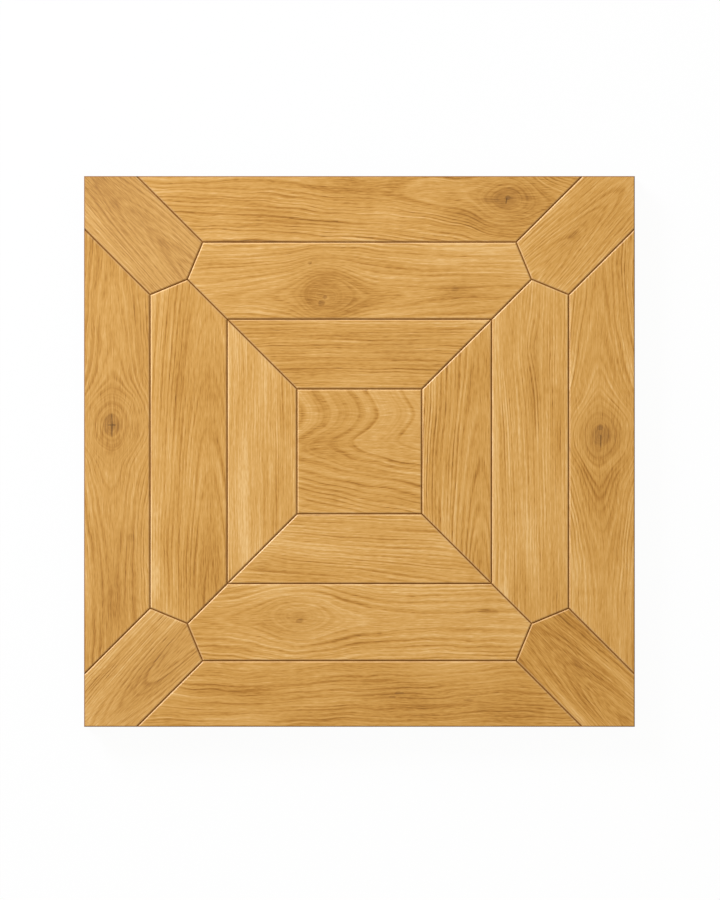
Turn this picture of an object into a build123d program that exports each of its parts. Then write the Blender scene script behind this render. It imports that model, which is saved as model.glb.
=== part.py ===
"""Square oak parquet panel, face up on the floor.

A centre square is framed by three rings of mitred strips. A pointed strip lies across each corner,
between the outer strips, with its point against the ends of the middle strips. Every piece is solid
oak, bevelled round its face and held to its neighbours by stopped tongues and grooves. A groove runs
round the whole panel for the loose tongue that joins it to the next one.

The origin is the centre of the underside, +Z points up out of the walking face, and +Y is north.
"""

import os
from math import radians, sqrt, tan

from build123d import *

# Driving dimensions of the pattern, in millimetres
centre_side = 136.0
inner_width = 76.0
middle_width = 84.0
outer_width = 72.0
corner_width = 81.0
point_angle = 135.0  # degrees between the two edges of a corner strip's point

# Driving dimensions of the boards, in millimetres
thickness = 20.0
bevel = 1.6
rim_bevel = 1.0  # the panel's own edge is bevelled less than the joints
tongue_thickness = 5.0
tongue_reach = 5.0
tongue_share = 0.6  # part of each joint's length that its tongue fills
tongue_drop = 1.0  # the tongues lie this far below the middle of the thickness
loose_tongue_thickness = 5.0
edge_groove_depth = 8.0

# Clearances, in millimetres
cheek_clearance = 0.1  # above and below a tongue in its groove
bottom_clearance = 0.5  # between a tongue's edge and the bottom of its groove
end_clearance = 5.0  # past each end of a tongue, so that mitred pieces can close aslant

# Places worked out from them: half sizes of the squares that the joints follow
centre_half = centre_side / 2
inner_half = centre_half + inner_width
middle_half = inner_half + middle_width
panel_half = middle_half + outer_width
panel_side = 2 * panel_half

# A corner strip's long edges cross the squares this far from their corners, and its point tapers
# over point_length, down to the tip on the panel's diagonal.
corner_offset = corner_width / sqrt(2)
point_length = corner_width / 2 / tan(radians(point_angle / 2))
shoulder = middle_half - corner_offset
tip = (middle_half + shoulder - sqrt(2) * point_length) / 2
rim_end = panel_half - corner_offset

tongue_level = thickness / 2 - tongue_drop
groove_depth = tongue_reach + bottom_clearance
groove_thickness = tongue_thickness + 2 * cheek_clearance
edge_groove_thickness = loose_tongue_thickness + 2 * cheek_clearance

# Outlines of the north pieces and the northeast corner strip, counterclockwise from above
square_outline = [
    (-centre_half, -centre_half),
    (centre_half, -centre_half),
    (centre_half, centre_half),
    (-centre_half, centre_half),
]
inner_outline = [
    (-centre_half, centre_half),
    (centre_half, centre_half),
    (inner_half, inner_half),
    (-inner_half, inner_half),
]
middle_outline = [
    (-inner_half, inner_half),
    (inner_half, inner_half),
    (tip, tip),
    (shoulder, middle_half),
    (-shoulder, middle_half),
    (-tip, tip),
]
outer_outline = [
    (-shoulder, middle_half),
    (shoulder, middle_half),
    (rim_end, panel_half),
    (-rim_end, panel_half),
]
corner_outline = [
    (tip, tip),
    (middle_half, shoulder),
    (panel_half, rim_end),
    (panel_half, panel_half),
    (rim_end, panel_half),
    (shoulder, middle_half),
]

# The groove round the panel, as the ring that the cutter clears
with BuildPart() as edge_groove:
    with BuildSketch(Plane.XY.offset(tongue_level - edge_groove_thickness / 2)):
        Rectangle(panel_side + edge_groove_depth, panel_side + edge_groove_depth)
        Rectangle(
            panel_side - 2 * edge_groove_depth,
            panel_side - 2 * edge_groove_depth,
            mode=Mode.SUBTRACT,
        )
    extrude(amount=edge_groove_thickness)


def joint_plane(start, end):
    """Plane at the middle of an edge, on the tongues' level: X along the edge, Z out of the board."""
    along = (end - start).normalized()
    middle = (start + end) * 0.5
    return Plane(
        origin=(middle.X, middle.Y, tongue_level),
        x_dir=along,
        z_dir=along.rotate(Axis.Z, -90),
    )


def face_edges(piece):
    """Edges of a board's face, as those along joints and those along the panel's rim."""
    edges = piece.faces().sort_by(Axis.Z)[-1].edges()
    reach = {edge: max(abs(edge.center().X), abs(edge.center().Y)) for edge in edges}
    joints = [edge for edge in edges if reach[edge] < panel_half - rim_bevel]
    return joints, [edge for edge in edges if edge not in joints]


def board(name, outline, turn=0, tongued=(), grooved=(), at_rim=False):
    """Writes one bevelled board.

    The outline is turned about the panel's centre by turn degrees. tongued and grooved give the
    edges that carry a tongue or a groove, each counted from the outline's point where it starts.
    """
    corners = [Vector(*point).rotate(Axis.Z, turn) for point in outline]
    edges = list(zip(corners, corners[1:] + corners[:1]))

    with BuildPart() as piece:
        with BuildSketch():
            with BuildLine():
                Polyline(*corners, close=True)
            make_face()
        extrude(amount=thickness)
        joint_edges, _ = face_edges(piece)
        chamfer(joint_edges, length=bevel)
        _, rim_edges = face_edges(piece)
        if rim_edges:
            chamfer(rim_edges, length=rim_bevel)

        for start, end in [edges[number] for number in tongued]:
            with BuildSketch(joint_plane(start, end)):
                Rectangle(tongue_share * (end - start).length, tongue_thickness)
            extrude(amount=tongue_reach)

        for start, end in [edges[number] for number in grooved]:
            groove_length = tongue_share * (end - start).length + 2 * end_clearance
            with BuildSketch(joint_plane(start, end)):
                Rectangle(groove_length, groove_thickness)
            extrude(amount=-groove_depth, mode=Mode.SUBTRACT)

        if at_rim:
            add(edge_groove.part, mode=Mode.SUBTRACT)

    piece.part.label = name
    export_step(piece.part, f"parts/{name}.step")


os.makedirs("parts", exist_ok=True)

board("centre_square", square_outline, tongued=(0, 1, 2, 3))

# The rings of strips. Each strip's groove takes the tongue of the ring inside it. At the mitres a
# strip has a tongue at its clockwise end and a groove at the other.
for side, turn in {"north": 0, "west": 90, "south": 180, "east": 270}.items():
    board(f"inner_strip_{side}", inner_outline, turn, tongued=(1, 2), grooved=(0, 3))
    board(f"middle_strip_{side}", middle_outline, turn, tongued=(1, 2, 3, 4), grooved=(0, 5))
    board(f"outer_strip_{side}", outer_outline, turn, tongued=(1, 3), grooved=(0,), at_rim=True)

# The corner strips take the tongues of the outer strips on their sides, and those of the middle
# strips on their points.
for side, turn in {"northeast": 0, "northwest": 90, "southwest": 180, "southeast": 270}.items():
    board(f"corner_strip_{side}", corner_outline, turn, grooved=(0, 1, 4, 5), at_rim=True)

print(f"panel {panel_side:g} mm square, {thickness:g} mm thick, corner point at {tip:.1f} mm")
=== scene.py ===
# %% [markdown]
# # An oak parquet panel
# The panel is a floor tile of solid oak: a centre square, three frames of strips round it, and a pointed
# strip across each corner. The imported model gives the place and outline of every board. This script makes
# each board again with its grain, knots and eased edges, and lights it as a flat sample seen from above.

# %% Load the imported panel
import math
from dataclasses import dataclass
from functools import partial

import bpy
import numpy as np
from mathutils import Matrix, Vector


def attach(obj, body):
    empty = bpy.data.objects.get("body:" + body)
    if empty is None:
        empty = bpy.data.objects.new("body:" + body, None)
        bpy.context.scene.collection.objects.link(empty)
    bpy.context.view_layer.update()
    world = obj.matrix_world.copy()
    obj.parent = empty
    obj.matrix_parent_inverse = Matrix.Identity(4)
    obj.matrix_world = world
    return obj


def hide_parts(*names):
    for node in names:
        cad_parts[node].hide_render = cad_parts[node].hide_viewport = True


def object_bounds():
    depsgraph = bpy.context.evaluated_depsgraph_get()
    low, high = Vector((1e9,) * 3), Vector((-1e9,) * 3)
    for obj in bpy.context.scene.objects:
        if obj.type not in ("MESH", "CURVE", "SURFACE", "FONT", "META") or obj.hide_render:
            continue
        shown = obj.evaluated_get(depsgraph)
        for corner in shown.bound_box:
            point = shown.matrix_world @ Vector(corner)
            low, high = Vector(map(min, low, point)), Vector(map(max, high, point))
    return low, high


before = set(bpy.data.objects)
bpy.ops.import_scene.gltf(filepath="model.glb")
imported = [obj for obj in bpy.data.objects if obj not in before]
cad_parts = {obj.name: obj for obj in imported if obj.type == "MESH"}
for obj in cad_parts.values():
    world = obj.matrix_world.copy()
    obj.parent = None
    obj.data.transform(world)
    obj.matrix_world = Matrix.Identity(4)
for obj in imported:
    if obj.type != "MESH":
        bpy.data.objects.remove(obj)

cad_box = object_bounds()
MM = 0.001
THICKNESS = (cad_box[1].z - cad_box[0].z) / MM
PANEL_SIDE = (cad_box[1].x - cad_box[0].x) / MM
print(f"{len(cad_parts)} boards, panel {PANEL_SIDE:.0f} mm square and {THICKNESS:.0f} mm thick")

# %% [markdown]
# ## The frame of one board
# Every strip of a frame is the same board, turned about the panel's centre by a quarter turn each time. So
# each board is worked out in a frame of its own, in millimetres: u along the grain, v across it, away from
# the panel's centre, and depth down from the face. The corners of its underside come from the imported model.

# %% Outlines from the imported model
TURNS = {
    "east": 270, "north": 0, "west": 90, "south": 180,
    "northeast": 45, "northwest": 135, "southwest": 225, "southeast": 315,
}
TOUCH = 0.1  # mm within which two points are one


def turn_of(node):
    """Angle from east to a board's grain: the turn of the side that its name ends in, or none."""
    return math.radians(TURNS.get(node.split("_")[-1], 0))


def turned(points, angle):
    """Points turned counterclockwise about the panel's centre, seen from above."""
    c, s = math.cos(angle), math.sin(angle)
    return points @ np.array([[c, s], [-s, c]])


def packed_points(node):
    """Points of a packed board, in millimetres."""
    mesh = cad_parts[node].data
    points = np.empty(3 * len(mesh.vertices), np.float32)
    mesh.vertices.foreach_get("co", points)
    return points.reshape(-1, 3).astype(float) / MM


def outline_of(node):
    """Corners of a board in its own frame, counterclockwise from the start of its lowest edge.

    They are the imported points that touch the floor, sorted by their angle about their middle.
    """
    points = packed_points(node)
    low = turned(points[points[:, 2] < TOUCH, :2], -turn_of(node))
    offset = low - low.mean(0)
    low = low[np.argsort(np.arctan2(offset[:, 1], offset[:, 0]))]
    low = low[np.linalg.norm(low - np.roll(low, 1, 0), axis=1) > TOUCH]
    start = np.lexsort((low[:, 0], low[:, 1].round(1)))[0]
    return np.roll(low, -start, axis=0)


outlines = {node: outline_of(node) for node in sorted(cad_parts)}
for node, corners in outlines.items():
    width, height = np.ptp(corners, axis=0)
    print(f"{node}: {len(corners)} corners, {width:.1f} by {height:.1f} mm")

# %% [markdown]
# ## A net of points over the face
# A face is a grid in two shares: one from end to end along the grain, one from edge to edge across it. Each
# row is straight, from the chain of edges at the left end to the chain at the right end, so the grid fits a
# trapezium as well as a pointed strip. The steps are short across the grain, where wood changes fastest.

# %% The grid of a face
STEP_ALONG = 1.5
STEP_ACROSS = 1.0


def step_counts(corners):
    """How many steps each edge of an outline is cut into, in its order round the board.

    The lowest and highest edges run along the grain and get equal counts. Between them, the edges of
    the right chain are cut by their height, and the left chain mirrors them.
    """
    half = len(corners) // 2
    length = np.ptp(corners[:, 0])
    rise = np.diff(corners[1 : half + 1, 1])
    along = int(round(length / STEP_ALONG))
    up = [int(round(step / STEP_ACROSS)) for step in rise]
    return [along, *up, along, *up[::-1]]


def chain(points, counts):
    """Points along a chain of straight edges, each edge cut into its count of equal steps."""
    runs = [
        start + (end - start) * (np.arange(count) / count)[:, None]
        for start, end, count in zip(points[:-1], points[1:], counts)
    ]
    return np.concatenate([*runs, points[-1:]])


def face_grid(corners, counts):
    """Rows of points over an outline: point = left end x (1 - share) + right end x share."""
    half = len(corners) // 2
    up = counts[1:half]
    right = chain(corners[1 : half + 1], up)
    left = chain(np.concatenate([corners[:1], corners[:half:-1]]), up)
    share = np.linspace(0, 1, counts[0] + 1)[None, :, None]
    return left[:, None] * (1 - share) + right[:, None] * share


counts = {node: step_counts(corners) for node, corners in outlines.items()}
sample = face_grid(outlines["outer_strip_north"], counts["outer_strip_north"])
print(f"an outer strip's face has {sample.shape[0]} by {sample.shape[1]} points")

# %% [markdown]
# ## Bevels, tongues and grooves
# The boards meet in tongues and grooves that stop short of their ends, and a groove runs round the rim of
# the panel for the loose tongue that joins it to the next one. Where two faces meet they are bevelled, so
# that the joint shows as a line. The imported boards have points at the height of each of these, so the
# sizes are read from there. Only what can't be read from a height is written here.

# %% Sizes of the joints
TONGUE_SHARE = 0.6  # part of a joint's length that its tongue fills
BOTTOM_CLEARANCE, END_CLEARANCE = 0.5, 5.0  # mm of room for a tongue in its groove
RIM_GROOVE_DEPTH = 8.0
JOINT_GAP = 0.001  # each board stands this many mm back from a joint
EASE, UNDER_EASE = 0.3, 0.4  # mm that the rounding of an upper or lower edge reaches to each side


def levels_of(node):
    """Heights at which a packed board has points, from the floor up."""
    return np.unique(packed_points(node)[:, 2].round(3))


_, tongue_low, tongue_high, bevel_foot, _ = levels_of("centre_square")
_, groove_low, *_, rim_bevel_foot, _ = levels_of("outer_strip_north")
BEVEL, RIM_BEVEL = THICKNESS - bevel_foot, THICKNESS - rim_bevel_foot
TONGUE_LEVEL, TONGUE_THICKNESS = (tongue_low + tongue_high) / 2, tongue_high - tongue_low
TONGUE_REACH = packed_points("centre_square")[:, 0].max() - outlines["centre_square"][:, 0].max()
CHEEK_CLEARANCE = tongue_low - groove_low

# Which edges of each kind of board carry a tongue, a groove or the rim, counted round the outline
JOINTS = {
    "centre": {"tongued": (0, 1, 2, 3), "grooved": (), "rim": ()},
    "inner": {"tongued": (1, 2), "grooved": (0, 3), "rim": ()},
    "middle": {"tongued": (1, 2, 3, 4), "grooved": (0, 5), "rim": ()},
    "outer": {"tongued": (1, 3), "grooved": (0,), "rim": (2,)},
    "corner": {"tongued": (), "grooved": (0, 3, 4, 5), "rim": (1, 2)},
}


def plan_of(node):
    """Outline of a board, how many steps its edges are cut into, and its joints."""
    return outlines[node], counts[node], JOINTS[node.split("_")[0]]


print(f"bevels {BEVEL:.2f} and {RIM_BEVEL:.2f} mm, tongues {TONGUE_THICKNESS:.2f} by {TONGUE_REACH:.2f} mm")

# %% [markdown]
# ## Moving edges in
# A bevel is the outline moved in while it rises, and a rounded edge is the same in smaller steps. Joints and
# rim have bevels of different widths, so every edge of an outline has to move in by its own amount. A corner
# then goes to where its two moved edges cross.

# %% Edges moved in
def edge_normals(corners):
    """Outward direction of each edge: the edge turned a quarter clockwise and brought to length one."""
    edges = np.roll(corners, -1, 0) - corners
    return np.stack([edges[:, 1], -edges[:, 0]], 1) / np.linalg.norm(edges, axis=1)[:, None]


def inset_corners(corners, insets):
    """Corners of an outline whose edges are each moved in by their own inset.

    A corner moves so that it is that far inside both of its edges: two equations for two steps.
    """
    normals = edge_normals(corners)
    pairs = np.stack([np.roll(normals, 1, 0), normals], 1)
    insets = np.broadcast_to(np.asarray(insets, float), len(corners))
    moves = np.stack([np.roll(insets, 1), insets], 1)
    return corners - np.linalg.solve(pairs, moves[:, :, None])[:, :, 0]


def edge_sizes(corners, joints):
    """Whether each edge is at the rim, how far it stands back from its joint, and its bevel."""
    rim = np.isin(np.arange(len(corners)), joints["rim"])
    return rim, np.where(rim, 0.0, JOINT_GAP), np.where(rim, RIM_BEVEL, BEVEL)


inner_corners = inset_corners(outlines["centre_square"], BEVEL)
print(f"inside its bevels the centre square is {np.ptp(inner_corners[:, 0]):.1f} mm wide")

# %% [markdown]
# ## Columns round a board
# Below the face, a board is one profile carried round its outline. Each place round the outline is a column
# of points that follow the profile down. Where a tongue or groove begins or ends, the wall steps out or in,
# so there are two columns at that place, one outside it and one inside.

# %% Columns of the skin
def columns_round(corners, counts, joints):
    """Edge, share of the edge, and whether it is inside a tongue or groove, for each column of the skin."""
    lengths = np.linalg.norm(np.roll(corners, -1, 0) - corners, axis=1)
    edges, shares, insides = [], [], []
    for edge, count in enumerate(counts):
        steps = np.arange(count + 1)
        if edge in joints["rim"]:
            turns_in = edge - 1 not in joints["rim"]  # a second column where the groove starts
            picked = np.concatenate([steps[:turns_in], steps])
            inside = np.arange(len(picked)) >= turns_in
        elif edge in joints["tongued"] + joints["grooved"]:
            spare = 0.0 if edge in joints["tongued"] else END_CLEARANCE / lengths[edge]
            first = int(round(((1 - TONGUE_SHARE) / 2 - spare) * count))
            last = count - first
            picked = np.concatenate([steps[: first + 1], steps[first : last + 1], steps[last:-1]])
            inside = (np.arange(len(picked)) > first) & (np.arange(len(picked)) <= last + 1)
        else:
            picked, inside = steps[:-1], np.zeros(count, bool)
        edges.append(np.full(len(picked), edge))
        shares.append(picked / count)
        insides.append(inside)
    return np.concatenate(edges), np.concatenate(shares), np.concatenate(insides)


columns = columns_round(*plan_of("outer_strip_north"))
print(f"{len(columns[0])} columns round an outer strip, {columns[2].sum()} in its tongues and grooves")

# %% [markdown]
# ## The profile
# The profile runs over the eased edge of the face, down the bevel and the wall, into the tongue or groove,
# and under the lower edge. With each of its points go two numbers for the finish: how dark it is painted,
# for oil and dust and for painted shade down in the joint, and how pale, for wear and for a painted
# highlight on the upper edge of the bevel. A joint is pale above and dark below.

# %% The skin round a board
# A point's inset is so many bevels and so many eases, its drop is the rest of the bevel and so many eases,
# and then come how dark it is painted (dirt, and painted shade in the joint) and how pale (wear, and a
# painted highlight on the bevel's upper edge). The points go from the face down to the wall.
PROFILE = [
    (1.0, 1.0, 0.0, 0.0, 0.35),
    (1.0, 0.18, 0.18, 0.0, 0.9),
    (1.0, -0.7, 0.7, 0.0, 1.0),
    (0.5, 0.0, 0.0, 0.3, 0.6),
    (0.0, 0.7, -0.7, 0.7, 0.2),
    (0.0, 0.18, 0.18, 1.0, 0.0),
    (0.0, 0.0, 2.0, 1.0, 0.0),
]
RIM_DARKENING, RIM_DARKENED_POINTS = 0.75, (1, 2, 3)  # the panel's upper edge is painted darker all round, a dark outline that is partly painted shade


def skin(corners, counts, joints):
    """Rows of points round a board, from the edge of its face to the edge of its underside.

    Each row is the outline moved in by the profile's inset and down by its drop. The four rows at the
    tongue's level go straight in or out where a column is inside a tongue or groove.
    """
    edge, share, inside = columns_round(corners, counts, joints)
    count = len(corners)
    rim, back, bevel = edge_sizes(corners, joints)
    tongued = np.isin(np.arange(count), joints["tongued"])
    half_slot = TONGUE_THICKNESS / 2 + np.where(tongued, 0.0, CHEEK_CLEARANCE)
    reach = np.where(tongued, TONGUE_REACH, -(TONGUE_REACH + BOTTOM_CLEARANCE))
    push = edge_normals(corners)[edge] * (reach[edge] * inside * ~rim[edge])[:, None]

    def row(insets, heights):
        moved = inset_corners(corners, insets)
        flat = moved[edge] * (1 - share)[:, None] + np.roll(moved, -1, 0)[edge] * share[:, None]
        return np.column_stack([flat, np.broadcast_to(heights, count)[edge]])

    rows, dark, wear_and_highlight = [], [], []
    # The fourth number paints the joint darker, for oil and dust and as painted shade; the fifth paints the
    # bevel's upper edge pale, for wear and as a painted highlight.
    for number, (part, inset, drop, dirt_and_shade, worn_and_highlight) in enumerate(PROFILE):
        rows.append(row(back + bevel * part + EASE * inset, THICKNESS - bevel * (1 - part) - EASE * drop))
        darkened = rim & (number in RIM_DARKENED_POINTS)
        dark.append(np.where(darkened, max(dirt_and_shade, RIM_DARKENING), dirt_and_shade)[edge])
        wear_and_highlight.append(np.where(rim, 0.0, worn_and_highlight)[edge])
    for side, pushed in ((1, False), (1, True), (-1, True), (-1, False)):
        level = TONGUE_LEVEL + side * half_slot
        points = row(back, level)
        if pushed:
            rim_groove = row(back + rim * RIM_GROOVE_DEPTH, level)
            points[:, :2] += push
            points = np.where((inside & rim[edge])[:, None], rim_groove, points)
        rows.append(points)
    rows.append(row(back, UNDER_EASE))
    rows.append(row(back + UNDER_EASE, 0.0))
    # Below the bevel the walls are painted fully dark, as dust and as painted shade deep in the joint
    below = np.ones((len(rows) - len(PROFILE), len(edge)))
    below[-1] = 0
    return np.array(rows), np.concatenate([dark, below]), np.concatenate([wear_and_highlight, 0 * below])


rows, *_ = skin(*plan_of("centre_square"))
print(f"the skin of the centre square has {rows.shape[0]} rows of {rows.shape[1]} points")

# %% [markdown]
# ## Closing the board
# The underside is a coarser net: all the steps along the grain, but few rows across it. At its two ends, a
# fan of triangles joins the fine row of the skin to the few rows of the net. Points that lie in the same
# place are then made one, and faces that have shrunk to a line are dropped.

# %% Faces of nets and fans
UNDER_ROWS = 9
WELD_STEPS = 1000  # to the millimetre


def net_faces(index, closed=False):
    """Quads between neighbouring rows and columns of an array of point numbers."""
    beside = np.roll(index, -1, 1) if closed else index[:, 1:]
    here = index if closed else index[:, :-1]
    return np.stack([here[:-1], beside[:-1], beside[1:], here[1:]], -1).reshape(-1, 4)


def fan_faces(fine, coarse, at):
    """Triangles between a fine row of points and a coarse one, whose points face the fine row's places at.

    Each fine step is joined to the nearer coarse point, and each coarse step to the fine point halfway.
    """
    step = np.arange(len(fine) - 1)
    span = np.searchsorted(at, step, side="right") - 1
    middle = (at[:-1] + at[1:]) // 2
    nearer = span + (step >= middle[span])
    outer = np.stack([fine[:-1], fine[1:], coarse[nearer]], -1)
    inner = np.stack([fine[middle], coarse[1:], coarse[:-1]], -1)
    return np.concatenate([outer, inner])


def under_faces(index, kink):
    """Faces of the underside, seen from below, from the point numbers of its full grid."""
    rows, _ = index.shape
    kept = np.unique(np.concatenate([np.linspace(0, rows - 1, UNDER_ROWS).round().astype(int), kink]))
    net = net_faces(index[kept][:, 1:-1])[:, ::-1]
    left = fan_faces(index[:, 0], index[kept, 1], kept)
    right = fan_faces(index[:, -1], index[kept, -2], kept)[:, ::-1]
    return net, np.concatenate([left, right])


def welded(points, quads, triangles):
    """Makes points in the same place one, and drops the faces that have fewer than three corners left."""
    places = (points * WELD_STEPS).round().astype(np.int64)
    _, first, number = np.unique(places, axis=0, return_index=True, return_inverse=True)
    number = number.ravel()
    faces = [number[quads], number[triangles]]
    faces = [kind[np.diff(np.sort(kind, 1), axis=1).all(1)] for kind in faces]
    used = np.unique(np.concatenate([kind.ravel() for kind in faces]))
    place = np.zeros(len(first), int)
    place[used] = np.arange(len(used))
    return first[used], [place[kind] for kind in faces]


print(f"a net of 3 by 4 points has {len(net_faces(np.arange(12).reshape(3, 4)))} quads")

# %% [markdown]
# ## One closed shell
# Face, skin and underside are stacked and welded into one closed shell, with no seams for light to leak
# through. The face sinks into relief only away from its border, which stays level with the bevel.

# %% The closed shell of a board
BORDER = 3  # steps of the face grid


def board_shell(corners, counts, joints):
    """Points of a board, its quads and triangles, where its face may sink, and how dark (dirt and painted
    shade) and how pale (wear and painted highlight) it is painted there.
    """
    _, back, bevel = edge_sizes(corners, joints)
    sides, side_dark, side_wear_and_highlight = skin(corners, counts, joints)
    face = face_grid(inset_corners(corners, back + bevel + EASE), counts)
    under = face_grid(inset_corners(corners, back + UNDER_EASE), counts)
    rows, columns = face.shape[:2]
    size = rows * columns
    flat = np.zeros(size)
    face = np.column_stack([face.reshape(-1, 2), flat + THICKNESS])
    under = np.column_stack([under.reshape(-1, 2), flat])
    points = np.concatenate([face, sides.reshape(-1, 3), under])
    dark = np.concatenate([flat, side_dark.ravel(), flat])
    wear_and_highlight = np.concatenate([flat, side_wear_and_highlight.ravel(), flat])
    relief = np.zeros((rows, columns))
    relief[BORDER:-BORDER, BORDER:-BORDER] = 1
    relief = np.concatenate([relief.ravel(), np.zeros(len(points) - size)])

    face_index = np.arange(size).reshape(rows, columns)
    side_index = size + np.arange(sides[..., 0].size).reshape(sides.shape[:2])
    kink = np.cumsum(counts[1 : len(corners) // 2 - 1]).astype(int)
    under_net, under_fans = under_faces(side_index.max() + 1 + face_index, kink)
    quads = np.concatenate([net_faces(face_index), net_faces(side_index, closed=True)[:, ::-1], under_net])
    kept, (quads, triangles) = welded(points, quads, under_fans)
    return points[kept], quads, triangles, relief[kept], dark[kept], wear_and_highlight[kept]


shell = board_shell(*plan_of("centre_square"))
print(f"the centre square has {len(shell[0])} points, {len(shell[1])} quads and {len(shell[2])} triangles")

# %% [markdown]
# ## How oak grows
# A tree lays a ring of wood round its pith each year. On a sawn face each ring shows as a line: straight
# where the saw ran towards the pith, and arched like a cathedral window where it ran past it. So every line
# on the face is a place of equal distance from the pith. That distance is worked out at each point of a
# board, with the fibres swaying, which a sum of long waves does well.

# %% Smooth random fields
WAVES = 14
PACE_SPREAD = 0.7  # how much the waves of a field differ in length


def drift(along, across, length, width, seed):
    """Smooth random field: a sum of cosine waves of random pace and phase, about one unit strong."""
    dice = np.random.default_rng(seed)
    pace = dice.normal(0, PACE_SPREAD, (WAVES, 2)) / (length, width)
    phase = dice.uniform(0, 2 * np.pi, WAVES)
    waves = np.zeros(np.shape(along))
    for (a, b), start in zip(pace, phase):
        waves += np.cos(2 * np.pi * (a * along + b * across) + start)
    return waves * math.sqrt(2 / WAVES)


def smooth(value, low, high):
    """Rises from 0 at low to 1 at high, level at both ends: 3 x squared - 2 x cubed.

    With low above high it falls instead.
    """
    x = np.clip((value - low) / (high - low), 0, 1)
    return x * x * (3 - 2 * x)


print(f"a drift at one point: {drift(np.zeros(1), np.zeros(1), 100, 30, 1)[0]:.2f}")

# %% [markdown]
# ## Boards and knots in numbers
# A board is known by how it was sawn from its trunk: where the pith lay, how it leant, and how wide the
# rings are. A knot is the base of a branch that the trunk has grown round. Both are kept as small records,
# so that a board's figure is one line to read and to change.

# %% Records of a knot and a board
@dataclass
class Knot:
    """A knot or a small dark speck: its place on the board and its sizes, in millimetres."""

    u: float
    v: float
    radius: float
    dark: float = 1.0  # shade of the heart
    haze: float = 0.0  # shade of the wood round it
    halo: float = 30.0  # radius of that haze
    dip: float = 0.0  # how many mm of the trunk's rings the branch had grown through
    rise: float = 0.0  # how much the trunk's rings rise for each step away from it along the grain
    stretch: float = 1.15  # how much longer it is than wide
    arms: int = 2  # cracks run out along so many arms
    turn: float = 0.0  # degrees from the grain to the first arm
    reach: float = 0.0  # length of the cracks, in radii
    cross: float = 0.0  # how much shorter the arms across the grain are


@dataclass
class Oak:
    """How a board was sawn: where the pith lay under it, how it leant, and how strongly its rings show."""

    heart: float  # the pith's place across the board
    below: float  # and its depth under the face
    lean: float  # how much deeper it lies for each step along
    ring: float  # width of a ring
    wave: float  # how far the fibres sway
    lines: float  # contrast of the rings
    tone: float  # how light the board is
    slant: float  # and how much lighter towards its outer edge
    seed: int
    skew: float = 0.0  # how far the pith moves outwards for each step along
    taper: float = 0.0  # how much the distance from the pith grows for each step along
    fan: float = 0.0  # and by what share more beyond the pith
    curl: float = 0.0  # how far the arches bend to and fro along the board
    limit: float = 1e4  # past this distance beyond the pith the lines spread no further
    pale: float = 0.0  # how much the whole face is made pale and smooth like the bevels' upper edges
    knots: tuple = ()


print(f"a plain knot: {Knot(0, 0, 10)}")

# %% [markdown]
# ## Rings of trunk and branch
# A branch lays rings round a pith of its own, and year by year the trunk closes round it. Each point of wood
# belongs to whichever reached it first, so the lower of the two distances counts. That gives ovals next to a
# knot, and lines of the trunk that part round the ovals and meet again in long points. The heart of the knot
# is darker and mottled.

# %% A knot in the rings
BRANCH_GROWTH = 0.7  # a branch grows slower than the trunk, but faster further out
BRANCH_REACH = 100.0  # mm at which it grows twice as fast
BRANCH_CORNER = 10.0  # mm over which the rings of trunk and branch run into each other
BRANCH_CALM, CALM_RANGE = 0.5, (-6, 10)  # the branch's own rings show less, from so many mm before it
RISE_LENGTH, RISE_CORNER = 90.0, 15.0  # mm over which the trunk's rings rise, and over which that begins
CORE_SHADE, MOTTLE_SHADE, RIM_SHADE = 0.26, 0.12, 0.08
CORE_EDGE, RIM_PLACE, RIM_WIDTH = (1.15, 0.7), 1.2, 0.15  # in radii of the knot
ROUGH_SIZE, MOTTLE_SIZE = 2.5, 0.7  # in radii
ROUGHNESS = 0.08  # how uneven a knot's outline is


def with_branch(u, across, trunk, oak, knot):
    """Rings of trunk and branch together, and how clear they stay there.

    The branch's rings start so many millimetres below the trunk's and then grow with the gap from its
    pith: growth x gap x (1 + gap / reach). The trunk's rings rise away from it along the grain. The lower
    of the two counts, with a soft corner: (a + b - length of (a - b, corner)) / 2.
    """
    gap = np.hypot((u - knot.u) / knot.stretch, across - knot.v)
    aside = knot.v - oak.heart - oak.skew * knot.u
    start = math.hypot(aside, oak.below) + oak.taper * knot.u - knot.dip
    branch = start + BRANCH_GROWTH * gap * (1 + gap / BRANCH_REACH)
    away = np.hypot(u - knot.u, RISE_CORNER) - RISE_CORNER
    trunk = trunk + knot.rise * RISE_LENGTH * np.tanh(away / RISE_LENGTH)
    both = (trunk + branch - np.hypot(trunk - branch, BRANCH_CORNER)) / 2
    return both, 1 - BRANCH_CALM * smooth(trunk - branch, *CALM_RANGE)


def knot_shade(u, v, knot, seed):
    """How dark a knot makes each point: a mottled core with a paler rim, and a haze in the wood round it."""
    size = knot.radius
    rough = drift(u, v, ROUGH_SIZE * size, ROUGH_SIZE * size, seed + 31)
    mottle = np.clip(0.5 + 0.5 * drift(u, v, MOTTLE_SIZE * size, MOTTLE_SIZE * size, seed + 51), 0, 1)
    gap = np.hypot((u - knot.u) / knot.stretch, v - knot.v) * (1 + ROUGHNESS * rough)
    core = smooth(gap / size, *CORE_EDGE)
    rim = np.exp(-(((gap / size - RIM_PLACE) / RIM_WIDTH) ** 2))
    haze = np.exp(-((gap / knot.halo) ** 2))
    return knot.dark * (core * (CORE_SHADE + MOTTLE_SHADE * mottle) - RIM_SHADE * rim) + knot.haze * haze


heart_shade = knot_shade(np.zeros(1), np.zeros(1), Knot(0, 0, 10), 1)[0]
print(f"at its heart a plain knot is darker by {heart_shade:.2f}")

# %% [markdown]
# ## The wood of a whole board
# The same few fields describe a board all through, not only on its face: how far a point is from the pith,
# how strongly the rings show, how straight they run and how light the wood is. Wood sawn along its rings
# looks darker and smoother than wood sawn across them.

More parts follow.
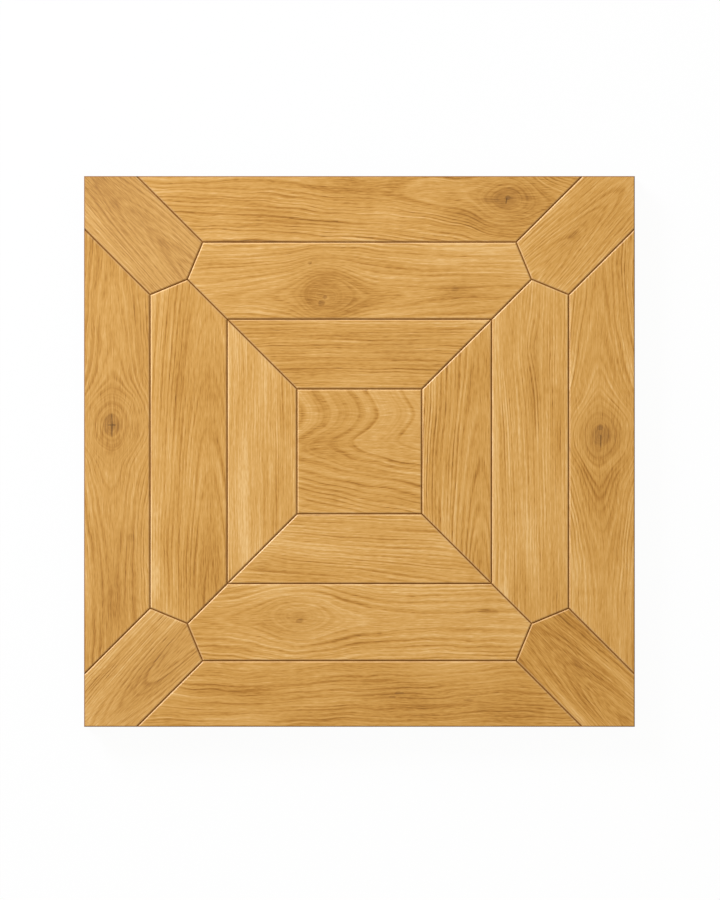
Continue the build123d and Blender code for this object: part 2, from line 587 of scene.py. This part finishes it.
# %% Fields of a board
LONG_WAVE, SHORT_WAVE, SHORT_SHARE = (240, 90), (60, 30), 0.4  # mm along and across of the fibres' sway
PITH_WAVE = 190.0  # mm over which the pith wanders up and down
CURL_LENGTH = 62.0  # mm from one bend of a curled arch to the next on the same side
FAN_RANGE = (-25, 25)  # mm from the pith over which the taper changes
FLAT_CONTRAST = 0.3  # how strongly rings show where they are sawn along, of where they are sawn across
FLAT_SHADE = 0.10  # and how much darker the wood is there
SLANT_WIDTH = 40.0  # mm from the middle of a board to where its slant counts in full
TAPER_BLUR = 1.6  # rings that are cut aslant by their taper look less straight


def oak_fields(u, v, depth, oak):
    """Distance from the pith, place across the fibres, contrast, straightness, tone and shade of knots.

    The distance is the length of the step across and the step down to the pith, plus the taper along the
    board. Straightness is the step's share of that length: 1 where the rings are sawn across.
    """
    sway = drift(u, v, *LONG_WAVE, oak.seed) + SHORT_SHARE * drift(u, v, *SHORT_WAVE, oak.seed + 1)
    across = v + oak.wave * sway
    step = across - oak.heart - oak.skew * u
    step = np.where(step > 0, oak.limit * np.tanh(step / oak.limit), step)
    curled = 1 - np.cos(2 * np.pi * np.maximum(across - oak.heart, 0) / CURL_LENGTH)
    wander = drift(u, 0 * u, PITH_WAVE, 1, oak.seed + 3)
    radius = np.hypot(step, depth + oak.below + oak.lean * u + wander)
    straight = np.abs(step) / radius
    taper = oak.taper * (1 + oak.fan * smooth(across - oak.heart, *FAN_RANGE))
    radius = radius + taper * (u - oak.curl * curled)
    contrast = oak.lines * (FLAT_CONTRAST + (1 - FLAT_CONTRAST) * straight)
    tone = oak.tone + oak.slant * v / SLANT_WIDTH - FLAT_SHADE * (1 - straight)
    shade = np.zeros(np.shape(u))
    for number, knot in enumerate(oak.knots):
        if knot.dip:
            radius, clear = with_branch(u, across, radius, oak, knot)
            contrast = contrast * clear
            straight = straight * clear
        shade = shade + knot_shade(u, v, knot, oak.seed + number)
    return radius, across, contrast, straight * (1 - TAPER_BLUR * abs(oak.taper)), tone, shade


plain = oak_fields(np.zeros(1), np.zeros(1), 0.0, Oak(30, 40, 0, 4, 0, 1, 0, 0, 1))
print(f"a point 30 mm beside and 40 mm above a pith is {plain[0][0]:.1f} mm from it, with its wander")

# %% [markdown]
# ## The figure of each board
# No two boards are alike. Each gets the place of its pith, the width of its rings and its knots, read
# from the panel: a pith far to one side gives straight lines, and one close under the face gives arches.
# Noise alone could draw wood too, but not a knot in a chosen place with lines that flow round it.

# %% Figure of each board
# In their order: heart, below, lean, ring, wave, lines, tone, slant and seed of a board,
# and u, v and radius of a knot
faint = partial(Knot, radius=3, dark=0.4, haze=0.12, halo=10)
FIGURES = {
    "outer_strip_north": Oak(
        26, 18, 0.0, 4.2, 2.0, 1.5, 0.0, 0.0, 11, skew=-0.09, taper=0.02,
        knots=(
            Knot(
                160.7, 12.1, 12, dark=0.5, haze=0.26, halo=40, dip=20, rise=0.1, stretch=1.25,
                arms=1, turn=-100, reach=0.6,
            ),
            Knot(161.5, 12.5, 2.4, dark=1.6),
            Knot(182, 13, 4, dark=0.4, stretch=2.5),
            Knot(142, 10, 4, dark=0.4, stretch=2.5),
        ),
    ),
    "outer_strip_south": Oak(
        -55, 42, -0.02, 3.8, 1.5, 0.7, -0.11, -0.03, 12,
        knots=(
            Knot(-35.5, 3.5, 1.4, dark=1.0, stretch=3),
            Knot(-43, -1, 1.6, dark=1.2, haze=0.08, halo=12, stretch=3),
            Knot(-119, 6.7, 2, dark=0.8, haze=0.08, halo=12, stretch=3),
        ),
    ),
    "outer_strip_west": Oak(
        5.5, 16, 0.0, 4.2, 1.4, 1.2, -0.02, 0.0, 13, pale=0.05,
        knots=(
            Knot(
                28.8, 5.5, 11, dark=0.85, haze=0.2, halo=38, dip=20, rise=0.2,
                arms=4, reach=1.3, cross=0.33,
            ),
            Knot(-94, -16, 4, dark=0.4, haze=0.1, halo=14),
        ),
    ),
    "outer_strip_east": Oak(
        -1, 16, 0.0, 4.2, 1.4, 1.2, 0.0, -0.04, 14,
        knots=(
            Knot(-18, -1, 11, dark=0.85, haze=0.38, halo=24, dip=20, rise=0.25, arms=1, reach=1.4),
            Knot(-26.5, -1.5, 3.2, dark=0.7),
        ),
    ),
    "middle_strip_north": Oak(
        -15.6, 15, 0.0, 4.0, 1.4, 1.1, 0.05, 0.07, 15,
        knots=(
            Knot(-36.4, -15.6, 9, dark=0.1, haze=0.17, halo=42, dip=15, rise=0.08, stretch=1.3),
            Knot(-37.5, -18, 2.2, dark=1.7),
            Knot(-41.5, -24, 3.4, dark=1.1),
            Knot(-53.8, 19.3, 1.8, dark=1.4, haze=0.1, halo=9),
            Knot(104, -10, 4, dark=0.3, haze=0.15, halo=14),
        ),
    ),
    "middle_strip_south": Oak(
        -1.3, 16, 0.0, 4.4, 1.2, 1.4, 0.10, -0.03, 16,
        knots=(
            Knot(64.7, -1.3, 2.4, dark=1.5, haze=0.22, halo=20, dip=15, rise=0.08, stretch=1.8),
            Knot(-141, -11, 4, dark=0.5, haze=0.12, halo=15, stretch=3),
        ),
    ),
    "middle_strip_west": Oak(-24, 22, 0.09, 3.6, 0.7, 1.1, 0.01, 0.08, 17),
    "middle_strip_east": Oak(
        220, 90, 0.01, 3.0, 0.6, 1.0, 0.08, -0.07, 18,
        knots=(Knot(-114, 7, 4, dark=0.3, haze=0.15, halo=15, dip=4, stretch=3),),
    ),
    "inner_strip_north": Oak(
        -150, 60, 0.01, 3.4, 0.8, 1.0, -0.05, 0.0, 19,
        knots=(Knot(50, 10, 5, dark=0.2, haze=0.12, halo=15, stretch=2),),
    ),
    "inner_strip_south": Oak(
        50, 24, -0.08, 3.4, 0.8, 1.2, 0.09, -0.02, 20,
        knots=(faint(107, 17, halo=12, dip=6, stretch=2),),
    ),
    "inner_strip_west": Oak(250, 80, 0.01, 2.7, 0.5, 0.9, 0.10, 0.07, 21),
    "inner_strip_east": Oak(27, 20, -0.08, 3.6, 0.8, 1.7, 0.06, -0.06, 22),
    "centre_square": Oak(
        8, 12, 0.0, 6.6, 1.8, 1.35, -0.015, 0.02, 23, taper=-0.2, fan=0.8, curl=8, limit=10,
    ),
    "corner_strip_northeast": Oak(
        0, 18, 0.12, 2.8, 0.5, 1.2, 0.03, 0.01, 24,
        knots=(faint(-13, 2, stretch=3),),
    ),
    "corner_strip_northwest": Oak(
        -8, 18, 0.12, 2.8, 0.5, 1.0, -0.15, 0.03, 25, pale=0.24,
        knots=(faint(-1, -7, dark=0.3, haze=0.1, stretch=2),),
    ),
    "corner_strip_southwest": Oak(
        14, 18, 0.12, 2.8, 0.5, 1.3, 0.06, -0.06, 26, pale=0.12,
        knots=(faint(-33, 6, stretch=2),),
    ),
    "corner_strip_southeast": Oak(
        -4, 18, -0.12, 2.8, 0.5, 1.0, -0.10, -0.02, 27,
        knots=(faint(-15, 6, stretch=3),),
    ),
}
print(f"{len(FIGURES)} figures, {sum(len(oak.knots) for oak in FIGURES.values())} knots and specks")

# %% [markdown]
# ## Rings, margins and cracks
# Three more things vary from point to point. Years differ, so the rings are of uneven width. The margins of
# a face are rubbed paler than its middle. And a knot cracks as it dries, along a few arms: the finish draws
# those finer than the mesh could, from each point's place in the nearest cracked knot.

# %% What the finish needs at each point
EARLY_FADE, LATE_FADE, LATE_SHARE = 0.16, 0.10, 0.45  # of a ring
UNEVEN = ((0.3, 0.9, 1), (0.4, 0.37, 2))  # strength, pace and start of each wave in the width of rings
NOWHERE = 1e4  # mm, far off any board


def uneven(rings, seed):
    """Counts of rings of uneven width: slow sine waves are added to an even count."""
    return rings + sum(size * np.sin(pace * rings + start * seed) for size, pace, start in UNEVEN)


def ring_line(rings):
    """Strength of the dark early wood: 1 where a ring starts, fading after it, and weaker just before."""
    phase = rings % 1
    return np.minimum(np.exp(-phase / EARLY_FADE) + LATE_SHARE * np.exp(-(1 - phase) / LATE_FADE), 1)


def inward(points, corners):
    """Distance of each point from the nearest edge of an outline that has no hollow corners."""
    offset = ((corners[:, None] - points) * edge_normals(corners)[:, None]).sum(-1)
    return np.maximum(offset.min(0), 0)


def cracks(u, v, knots):
    """Offset of each point from the nearest cracked knot, in radii, with its cross, arms, turn and reach."""
    knots = [knot for knot in knots if knot.reach] or [Knot(NOWHERE, NOWHERE, 1)]
    nearest = np.array([np.hypot(u - knot.u, v - knot.v) for knot in knots]).argmin(0)
    place = np.array([[knot.u, knot.v, knot.radius, knot.cross] for knot in knots])[nearest]
    kind = np.array([[knot.arms, math.radians(knot.turn), knot.reach] for knot in knots])[nearest]
    offset = (np.column_stack([u, v]) - place[:, :2]) / place[:, 2:3]
    return np.column_stack([offset, place[:, 3]]), kind


print(f"halfway through a ring its early wood is down to {ring_line(np.array([0.5]))[0]:.2f}")

# %% [markdown]
# ## Making the boards
# A planed and oiled face isn't quite flat: the soft early wood of each ring has sunk a little. That relief
# is in the mesh. The fields go with it as attributes, which the finish reads, so that rings run on from the
# face over the bevel and down the wall as they do in solid wood.

# %% The boards
RELIEF = 0.05  # mm from the hard late wood down to the early wood
MARGIN_TONE, MARGIN_WIDTH = 0.09, 9.0  # a face's margins are rubbed paler, over so many mm
BARE_FROM, BARE_TO = 0.2, 0.8  # mm below the bevel where the oil ends
SEED_SHIFT = 1000.0  # mm between the places where two boards read the noise of the finish


def add_object(name, data):
    """Puts a new object into the scene."""
    thing = bpy.data.objects.new(name, data)
    bpy.context.scene.collection.objects.link(thing)
    return thing


def store(mesh, name, values):
    """Puts one number, or one vector, for each point into an attribute of the mesh."""
    kind, field = ("FLOAT", "value") if values.ndim == 1 else ("FLOAT_VECTOR", "vector")
    mesh.attributes.new(name, kind, "POINT").data.foreach_set(field, values.astype(np.float32).ravel())


def make_board(node):
    """One board: its shell, with the early wood sunk by the relief, and the wood's fields on its points."""
    oak = FIGURES[node]
    corners = outlines[node]
    points, quads, triangles, relief, dark, wear_and_highlight = board_shell(*plan_of(node))
    u, v = (points[:, :2] - (corners.min(0) + corners.max(0)) / 2).T
    depth = THICKNESS - points[:, 2]
    radius, across, contrast, straight, tone, shade = oak_fields(u, v, depth, oak)
    rings = uneven(radius / oak.ring, oak.seed)
    crack_place, crack_kind = cracks(u, v, oak.knots)
    height = points[:, 2] - RELIEF * oak.lines * ring_line(rings) * relief

    mesh = bpy.data.meshes.new(node + "_oak")
    final = np.column_stack([turned(points[:, :2], turn_of(node)), height]) * MM
    mesh.from_pydata(final, [], quads.tolist() + triangles.tolist())
    fields = {
        "rings": rings,
        "grain": np.column_stack([u + SEED_SHIFT * oak.seed, radius, across + depth]) * MM,
        "straight": straight,
        "lines": contrast,
        "tone": tone + MARGIN_TONE * np.exp(-inward(points[:, :2], corners) / MARGIN_WIDTH),
        "knot": shade,
        "crack_place": crack_place,
        "crack_kind": crack_kind,
        # The joint's darkening is oil and dust, and also painted shade down the bevel and wall
        "joint": dark,
        # The pale cream on the bevels' upper edges is wear and also a painted highlight
        "wear_and_highlight": np.maximum(wear_and_highlight, oak.pale),
        "bare": smooth(depth - BEVEL, BARE_FROM, BARE_TO),
    }
    for name, values in fields.items():
        store(mesh, name, values)
    piece = add_object(node + "_board", mesh)
    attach(piece, "root")
    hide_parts(node)
    return piece


boards = {node: make_board(node) for node in outlines}
triangle_counts = [sum(len(face.vertices) - 2 for face in piece.data.polygons) for piece in boards.values()]
print(f"{len(boards)} boards, {sum(triangle_counts)} triangles, {max(triangle_counts)} at most in one")

# %% [markdown]
# ## Adding nodes
# A finish is a tree of nodes. One function adds any of them: it sets the options, fills the inputs in their
# order and gives back an output, so that a line of code reads like a formula. Colours are written as they
# look on a screen and turned into the linear light that Blender works with.

# %% Colours and one way to add a node
def linear(code):
    """Linear red, green, blue and full alpha from an sRGB hex code."""
    parts = [int(code[i : i + 2], 16) / 255 for i in (1, 3, 5)]
    return [c / 12.92 if c <= 0.04045 else ((c + 0.055) / 1.055) ** 2.4 for c in parts] + [1.0]


def new_tree(owner):
    """The node tree of a new material or world, emptied."""
    owner.use_nodes = True
    owner.node_tree.nodes.clear()
    return owner.node_tree


def add_node(tree, kind, *values, out="", named=None, stops=None, **settings):
    """Adds a node and gives back its output of that name, or else its first one.

    The values fill the inputs that are in use, in their order, and named fills some by their names. A
    socket is linked and anything else is set. stops are the places and colours of a colour ramp.
    """
    node = tree.nodes.new("ShaderNode" + kind)
    for name, value in settings.items():
        setattr(node, name, value)
    used = [socket for socket in node.inputs if socket.enabled]
    pairs = list(zip(used, values)) + [(node.inputs[name], value) for name, value in (named or {}).items()]
    for socket, value in pairs:
        if isinstance(value, bpy.types.NodeSocket):
            tree.links.new(value, socket)
        else:
            socket.default_value = value
    for number, (place, code) in enumerate(stops or ()):
        ramp = node.color_ramp.elements
        stop = ramp[number] if number < len(ramp) else ramp.new(place)
        stop.position = place
        stop.color = linear(code)
    return next((socket for socket in node.outputs if socket.enabled and out in ("", socket.name)), None)


EASED = {"interpolation_type": "SMOOTHSTEP"}  # starts and ends level
print("honey in linear light:", [round(part, 3) for part in linear("#ce984a")])

# %% [markdown]
# ## Streaks of the grain
# Close up, oak is fine streaks that follow the rings, and short dark pores along the fibres. All of them are
# noise drawn out along the grain. The grain attribute holds each point's place along the board, in the rings
# and across the fibres, so that scaling its three parts draws a streak as long and as wide as it should be.

# %% Streaks
# Length along the grain, width in the rings and width across the fibres, in millimetres, and weight in the
# colour. Real pores are a third as wide, and are drawn wider so that they show.
STREAKS = {
    "cloud": (150, 34, None, 0.6),
    "broad": (190, 8, None, 0.40),
    "medium": (110, 3.0, None, 0.40),
    "fine": (110, 1.4, None, 0.60),
    "fibre": (36, None, 1.1, 0.55),
    "fleck": (9, None, 0.9, 0.65),
    "pore": (12, None, 0.7, 0.0),
    "fade": (80, 16, 26, 0.0),
}
SMOOTHEST = ("pore",)  # with no finer noise in it
NOISE_ROUGHNESS = 0.6


def streaks_in(put):
    """A noise for each kind of streak, even to both sides of zero."""
    grain = put("Attribute", out="Vector", attribute_name="grain")
    made = {}
    for name, (*sizes, _) in STREAKS.items():
        scale = [1 / (size * MM) if size else 0.0 for size in sizes]
        scaled = put("VectorMath", grain, scale, operation="MULTIPLY")
        noise = put("TexNoise", scaled, 1.0, float(name not in SMOOTHEST), NOISE_ROUGHNESS)
        made[name] = put("Math", noise, 0.5, operation="SUBTRACT")
    return made


print("streaks:", ", ".join(f"{name} {sizes[0]} mm long" for name, sizes in STREAKS.items()))

# %% [markdown]
# ## Lines of the rings
# The wood of spring is open and dark, and shows as a line that starts sharply and fades over the summer. No
# two years are alike, so each line has a strength of its own, which also comes and goes along the board.
# Pores crowd along the lines.

# %% Ring lines and pores
RING_WOBBLE = 0.5  # rings that the streaks push a line to and fro
RING_STOPS = [
    (0, "#ffffff"), (0.15, "#e7e7e7"), (0.35, "#a0a0a0"),
    (0.6, "#303030"), (0.82, "#505050"), (1, "#ffffff"),
]
YEAR_SPREAD, YEAR_LEAST = 0.55, 0.5
FADE_RANGE = (-0.16, 0.18, 0.5, 1.15)
PORE_RANGE = (0.10, 0.24)
PORES_ON_LINE, PORES_OFF_LINE = 0.8, 0.35


def ring_lines(put, at, streak):
    """How dark the lines of the rings are, and how deep the pores."""
    rings = put("Math", streak["medium"], RING_WOBBLE, at["rings"], operation="MULTIPLY_ADD")
    drawn = put("ValToRGB", put("Math", rings, operation="FRACT"), stops=RING_STOPS)
    year = put("TexWhiteNoise", put("Math", rings, operation="ROUND"), noise_dimensions="1D")
    strength = put("Math", year, YEAR_SPREAD, YEAR_LEAST, operation="MULTIPLY_ADD")
    fade = put("MapRange", streak["fade"], *FADE_RANGE, **EASED)
    for factor in (strength, fade, at["lines"]):
        drawn = put("Math", drawn, factor, operation="MULTIPLY")
    pores = put("MapRange", streak["pore"], *PORE_RANGE, **EASED)
    crowd = put("Math", drawn, PORES_ON_LINE, PORES_OFF_LINE, operation="MULTIPLY_ADD")
    return drawn, put("Math", pores, crowd, operation="MULTIPLY")


print(f"a ring's line passes through {len(RING_STOPS)} shades")

# %% [markdown]
# ## Cracks in the knots
# A dried knot splits along arms that run out from its heart, the longer ones along the grain. A crack is
# much finer than the steps of the mesh, so the finish works it out from the offset to the knot. The mesh
# carries that exactly, because it changes evenly from point to point.

# %% Cracks
CRACK_EDGE = (0.07, 0.02)  # half widths of a crack in radii: where it begins to show and where it is full
CRACK_END = (1.0, 0.7)  # the same along its length
CRACK_WANDER = 0.08
SHORTEST = 0.001  # stands for no length, so that nothing is divided by zero


def crack_in(put, fleck):
    """1 in a crack and 0 outside.

    The offset from an arm is the gap from the heart times the sine of the angle off the arm, with the arms
    shared out evenly round the knot. Their length is reach x (1 - cross x (1 - cosine of twice the angle)).
    """
    place = put("Attribute", out="Vector", attribute_name="crack_place")
    place_u, place_v, cross = put("SeparateXYZ", place).node.outputs
    kind = put("Attribute", out="Vector", attribute_name="crack_kind")
    arms, turn, reach = put("SeparateXYZ", kind).node.outputs

    gap = put("VectorMath", put("CombineXYZ", place_u, place_v), out="Value", operation="LENGTH")
    angle = put("Math", put("Math", place_v, place_u, operation="ARCTAN2"), turn, operation="SUBTRACT")
    half_arms = put("Math", arms, 2, operation="DIVIDE")
    off_arm = put("Math", angle, half_arms, operation="MULTIPLY")
    for operation, *values in (("SINE",), ("ABSOLUTE",), ("MULTIPLY", gap), ("DIVIDE", half_arms)):
        off_arm = put("Math", off_arm, *values, operation=operation)
    off_arm = put("Math", fleck, CRACK_WANDER, off_arm, operation="MULTIPLY_ADD")

    aslant = put("Math", put("Math", angle, 2, operation="MULTIPLY"), operation="COSINE")
    rest = put("Math", 1, cross, operation="SUBTRACT")
    length = put("Math", aslant, cross, rest, operation="MULTIPLY_ADD")
    for operation, value in (("MULTIPLY", reach), ("MAXIMUM", SHORTEST)):
        length = put("Math", length, value, operation=operation)
    along = put("Math", gap, length, operation="DIVIDE")
    across = put("MapRange", off_arm, *CRACK_EDGE, **EASED)
    within = put("MapRange", along, *CRACK_END, **EASED)
    return put("Math", across, within, operation="MULTIPLY")


cracked = [node for node, oak in FIGURES.items() if any(knot.reach for knot in oak.knots)]
print("boards with cracked knots:", ", ".join(cracked))

# %% [markdown]
# ## Oiled oak
# Planed oak with a coat of hard oil is honey coloured and satin. The streaks, lines, pores and knots are
# added up into one value, which a ramp of honey browns turns into colour, so that all of them stay within
# the colours of one wood. The joints are painted darker, as oil and dust and as painted shade down in them,
# and the upper edges of the bevels are painted pale, as wear and as a painted highlight, and made smooth.

# %% Oiled oak
BASE_TONE = 0.66
LINE_WEIGHT, PORE_WEIGHT, KNOT_WEIGHT = -0.33, -0.2, -0.6
HONEY_STOPS = [(0, "#8f5f22"), (0.25, "#b57d33"), (0.5, "#ce984a"), (0.75, "#dca95f"), (1, "#edc281")]
CRISP_RANGE = (0.0, 0.9, 0.3, 1.1)  # streaks show best where the board was sawn across its rings
WOVEN_RANGE = (0.0, 0.9, 1.5, 0.9)  # and bare fibre where it was sawn along them
# Oil stain and dust darken the joints, and also stand in for painted shade down the bevels
STAIN_AND_SHADE_RANGE, DUST_AND_SHADE_RANGE = (0.0, 0.7, 0.0, 0.8), (0.5, 1.0, 0.0, 0.9)
# The pale share on the bevels' upper edges stands for wear and also paints a highlight
KNOT_GREY, CRACK_DARK, WEAR_AND_HIGHLIGHT_PALE, BARE_PALE = 0.15, 0.7, 0.32, 0.5  # shares of their own colours
BUMP = 0.03  # mm
LINE_DEPTH, PORE_DEPTH, CRACK_DEPTH = 0.5, 0.5, 3.0  # of the bump
ROUGH_RANGE = (0.3, 1.0, 0.64, 0.28)  # satin where little worn, and smoother on a rubbed edge
OIL_IOR, OIL_SHEEN = 1.42, 0.3


def oiled_oak():
    """Oak boards, planed and oiled: satin, with dark pores and rings over honey streaks."""
    material = bpy.data.materials.new("oiled_oak")
    put = partial(add_node, new_tree(material))
    names = ("rings", "straight", "lines", "tone", "knot", "joint", "wear_and_highlight", "bare")
    at = {name: put("Attribute", out="Fac", attribute_name=name) for name in names}
    streak = streaks_in(put)
    drawn, pitted = ring_lines(put, at, streak)
    crack = crack_in(put, streak["fleck"])

    crisp = put("MapRange", at["straight"], *CRISP_RANGE)
    woven = put("MapRange", at["straight"], *WOVEN_RANGE)
    for name, factor in {"broad": crisp, "medium": crisp, "fine": crisp, "fibre": woven}.items():
        streak[name] = put("Math", streak[name], factor, operation="MULTIPLY")
    value = put("Math", at["tone"], BASE_TONE)
    parts = [(streak[name], weight) for name, (*_, weight) in STREAKS.items() if weight]
    parts += [(drawn, LINE_WEIGHT), (pitted, PORE_WEIGHT), (at["knot"], KNOT_WEIGHT)]
    for part, weight in parts:
        value = put("Math", part, weight, value, operation="MULTIPLY_ADD")
    colour = put("ValToRGB", value, stops=HONEY_STOPS)

    # Grey in the knots, cracks, pale on the bevels' upper edges as wear and painted highlight, bare wood
    # below the bevel, and oil, dust and painted shade in the joints
    layers = [
        (put("Math", at["knot"], KNOT_GREY, operation="MULTIPLY", use_clamp=True), "#a08a66"),
        (put("Math", crack, CRACK_DARK, operation="MULTIPLY"), "#4a2f12"),
        (put("Math", at["wear_and_highlight"], WEAR_AND_HIGHLIGHT_PALE, operation="MULTIPLY"), "#e2caa0"),
        (put("Math", at["bare"], BARE_PALE, operation="MULTIPLY"), "#c9a06a"),
        (put("MapRange", at["joint"], *STAIN_AND_SHADE_RANGE, **EASED), "#a06418"),
        (put("MapRange", at["joint"], *DUST_AND_SHADE_RANGE, **EASED), "#452405"),
    ]
    for share, code in layers:
        colour = put("Mix", share, colour, linear(code), data_type="RGBA")

    height = put("Math", streak["fine"], streak["fibre"])
    for part, weight in ((drawn, -LINE_DEPTH), (pitted, -PORE_DEPTH), (crack, -CRACK_DEPTH)):
        height = put("Math", part, weight, height, operation="MULTIPLY_ADD")
    bump = put("Bump", named={"Height": height, "Distance": BUMP * MM, "Strength": 1.0})
    rough = put("MapRange", at["wear_and_highlight"], *ROUGH_RANGE)
    look = {"Base Color": colour, "Roughness": rough, "Normal": bump}
    oil = {"IOR": OIL_IOR, "Specular IOR Level": OIL_SHEEN}
    put("OutputMaterial", put("BsdfPrincipled", named={**look, **oil}))
    return material


oak_finish = oiled_oak()
for piece in boards.values():
    piece.data.materials.append(oak_finish)
print(f"{oak_finish.name}: {len(oak_finish.node_tree.nodes)} nodes")

# %% [markdown]
# ## The floor
# A sample is shown on white. The floor is a matt sheet that glows a little under full white where the camera
# sees it, so it stays white, while the boards are lit only by the light it would really send back.

# %% White floor
FLOOR_SIDE = 12.0  # m
FLOOR_DROP = 0.0002  # m that the floor lies under the panel
FLOOR_GLOW = 0.96


def seen_directly(tree):
    """Socket that is 1 for what is seen, also in a mirror or through glass, and 0 for other light."""
    path = add_node(tree, "LightPath").node.outputs
    seen = add_node(tree, "Math", path["Is Camera Ray"], path["Is Glossy Ray"], operation="MAXIMUM")
    return add_node(tree, "Math", seen, path["Is Transmission Ray"], operation="MAXIMUM")


floor_mesh = bpy.data.meshes.new("floor")
half_side = FLOOR_SIDE / 2
floor_ends = ((-1, -1), (1, -1), (1, 1), (-1, 1))
floor_corners = [(x * half_side, y * half_side, -FLOOR_DROP) for x, y in floor_ends]
floor_mesh.from_pydata(floor_corners, [], [(0, 1, 2, 3)])
floor = add_object("floor", floor_mesh)
sheet = bpy.data.materials.new("white_floor")
tree = new_tree(sheet)
matt = add_node(tree, "BsdfDiffuse", linear("#f4f4f4"))
glow = add_node(tree, "Emission", linear("#ffffff"), 1.0)
seen = add_node(tree, "Math", seen_directly(tree), FLOOR_GLOW, operation="MULTIPLY")
add_node(tree, "OutputMaterial", add_node(tree, "MixShader", seen, matt, glow))
floor_mesh.materials.append(sheet)
print(f"floor {FLOOR_SIDE:g} m square")

# %% [markdown]
# ## The light
# A wide soft lamp low in the north-west rakes across the panel, so that each bevel that faces it shines and
# each one behind it falls into shade. The room fills in the rest. The two shares add up to one on the face,
# so that a colour renders about as it is written.

# %% Soft lamp and room
KEY_DISTANCE, KEY_WIDTH = 4.4, 1.4  # m
KEY_HEIGHT = math.radians(20)  # above the floor
KEY_TURN = math.radians(135)  # from east towards north
KEY_SHARE = 0.42
SKY_SHARE = 1 - KEY_SHARE
SKY_COLOUR = (1.0, 0.94, 0.74)  # warm, as the room sends it back; the lamp is as much cooler

world = bpy.data.worlds.new("studio")
bpy.context.scene.world = world
tree = new_tree(world)
seen = seen_directly(tree)
level = add_node(tree, "MapRange", seen, 0.0, 1.0, SKY_SHARE, 1.0)
tint = add_node(tree, "Mix", seen, [*SKY_COLOUR, 1.0], linear("#ffffff"), data_type="RGBA")
add_node(tree, "OutputWorld", add_node(tree, "Background", tint, level))

lamp = bpy.data.lights.new("softbox", "AREA")
lamp.shape = "DISK"
lamp.size = KEY_WIDTH
lamp.color = [(1 - SKY_SHARE * part) / KEY_SHARE for part in SKY_COLOUR]
# From far off, P watts make a white face as bright as P x sine of the height / (pi x distance) squared
lamp.energy = KEY_SHARE * math.pi**2 * KEY_DISTANCE**2 / math.sin(KEY_HEIGHT)
softbox = add_object("softbox", lamp)
softbox.rotation_euler = (math.pi / 2 - KEY_HEIGHT, 0, KEY_TURN + math.pi / 2)
flat_distance = KEY_DISTANCE * math.cos(KEY_HEIGHT)
softbox.location = (
    flat_distance * math.cos(KEY_TURN),
    flat_distance * math.sin(KEY_TURN),
    KEY_DISTANCE * math.sin(KEY_HEIGHT),
)
print(f"lamp of {lamp.energy:.0f} W, {KEY_DISTANCE} m away")

# %% [markdown]
# ## The camera
# The picture is taken from straight above. The camera is far away with a long lens, so that the sides of the
# boards stay hidden, and its distance and lens together give the panel its size in the picture.

# %% Camera
PHOTO_WIDTH, PHOTO_HEIGHT = 720, 900
PANEL_PIXELS = 550.85  # side of the panel in the picture
PANEL_MIDDLE = (359.43, 451.46)  # pixels from the picture's upper left corner
CAMERA_DISTANCE = 4.0  # m above the face
pixel = PANEL_SIDE / PANEL_PIXELS * MM
camera = bpy.data.cameras.new("camera")
camera.lens = camera.sensor_width * CAMERA_DISTANCE / (PHOTO_HEIGHT * pixel)
eye = add_object("camera", camera)
eye.location = (
    (PHOTO_WIDTH / 2 - PANEL_MIDDLE[0]) * pixel,
    (PANEL_MIDDLE[1] - PHOTO_HEIGHT / 2) * pixel,
    CAMERA_DISTANCE + THICKNESS * MM,
)
bpy.context.scene.camera = eye
bpy.context.scene.view_settings.view_transform = "Standard"
print(f"camera lens {camera.lens:.1f} mm at {CAMERA_DISTANCE} m")

# %% [markdown]
# ## Size
# The boards are drawn again, so they must still fill the same box as the imported panel.

# %% The scene brought up to date
bpy.context.view_layer.update()
